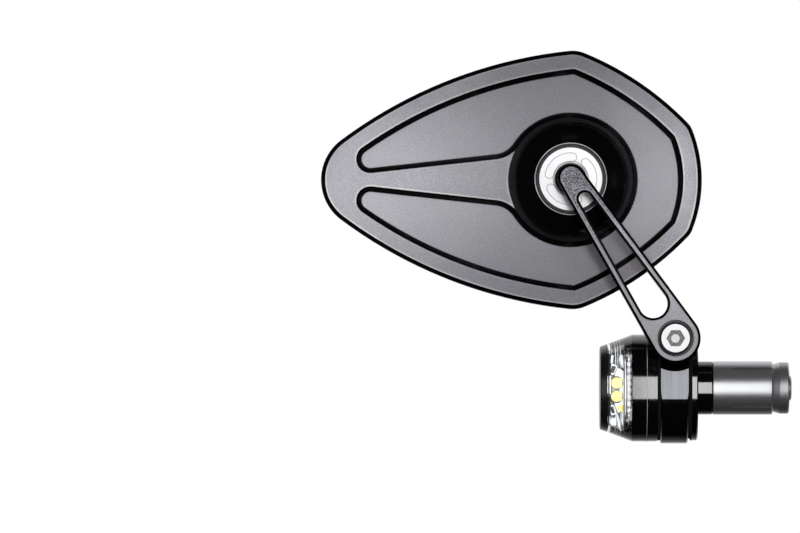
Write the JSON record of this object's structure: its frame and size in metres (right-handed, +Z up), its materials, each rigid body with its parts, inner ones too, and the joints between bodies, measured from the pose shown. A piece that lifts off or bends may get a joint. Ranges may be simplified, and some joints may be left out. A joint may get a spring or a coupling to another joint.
{
  "type": "motorcycle bar end mirror",
  "caption": "Bar end mirror: milled drop-shaped head on a ball joint, slotted arm and split clamp, on a plug that fixes in the handlebar and carries a clear signal lamp.",
  "frame": {"origin": "centre of the handlebar's end plane, on the bar's axis, where the flange's inner face meets the bar", "axes": "+X runs along the handlebar into the bar, +Z is up, and the mirror's milled back faces -Y and its glass +Y"},
  "size_m": [0.1504, 0.0457, 0.1254],
  "materials": {
    "head_anodised": "bead blasted grey anodised flats with gloss black milled walls",
    "arm_anodised": "satin grey anodised with black edges",
    "clamp_anodised": "black anodised with a satin grey pad",
    "black_anodised": "turned, gloss black anodised",
    "cap_anodised": "turned, satin black anodised",
    "bare_aluminium": "turned",
    "nut_aluminium": "bright satin, clear anodised",
    "screw_steel": "stainless, satin",
    "ball_steel": "polished",
    "bush_bronze": "turned bronze",
    "slide_plastic": "moulded acetal",
    "clear_lens": "clear polycarbonate",
    "heat_sink": "black anodised",
    "led_board": "white solder mask",
    "led_dome": "yellow phosphor under clear resin",
    "reflector_metal": "metallised facets",
    "seal_rubber": "nitrile",
    "pad_rubber": "adhesive foam",
    "mirror_glass": "first surface of the convex glass faintly blue"
  },
  "bodies": {
    "bar_end": {"bar_end_adapter": "black_anodised", "expander_sleeve": "bare_aluminium", "expander_cone": "bare_aluminium", "expander_bolt": "screw_steel", "lamp_housing": "black_anodised", "lens_ring": "black_anodised", "lamp_lens": "clear_lens", "lamp_end_cap": "cap_anodised", "led_carrier": "heat_sink", "led_board_front": "led_board", "led_domes_front": "led_dome", "led_board_rear": "led_board", "led_domes_rear": "led_dome", "reflector": "reflector_metal", "lens_o_ring": "seal_rubber", "cap_o_ring": "seal_rubber"},
    "clamp": {"clamp_ring": "clamp_anodised", "pivot_screw": "screw_steel", "pivot_bush": "bush_bronze", "friction_washer": "slide_plastic"},
    "arm": {"mirror_arm": "arm_anodised", "ball_stud": "ball_steel"},
    "liner": {"ball_liner": "slide_plastic"},
    "seat": {"ball_seat_front": "bare_aluminium", "ball_seat_rear": "bare_aluminium"},
    "mirror_head": {"mirror_body": "head_anodised", "ring_nut": "nut_aluminium", "socket_spring": "screw_steel", "pane_pad": "pad_rubber", "mirror_pane": "mirror_glass"}
  },
  "joints": [
    {"name": "clamp_turn", "type": "hinge", "parent": "bar_end", "child": "clamp", "pos_m": [-0.0075, 0, 0], "axis": [1, 0, 0], "continuous": true},
    {"name": "arm_swing", "type": "hinge", "parent": "clamp", "child": "arm", "pos_m": [-0.0075, -0.02, 0.0154], "axis": [0, -1, 0], "range_deg": [-60, 20]},
    {"name": "head_nod", "type": "hinge", "parent": "arm", "child": "liner", "pos_m": [-0.04061, -0.01125, 0.06639], "axis": [1, 0, 0], "range_deg": [-10, 10]},
    {"name": "head_turn", "type": "hinge", "parent": "liner", "child": "seat", "pos_m": [-0.04061, -0.01125, 0.06639], "axis": [0, 0, 1], "range_deg": [-10, 10]},
    {"name": "head_spin", "type": "hinge", "parent": "seat", "child": "mirror_head", "pos_m": [-0.04061, -0.01125, 0.06639], "axis": [0, -1, 0], "range_deg": [-90, 25]}
  ]
}
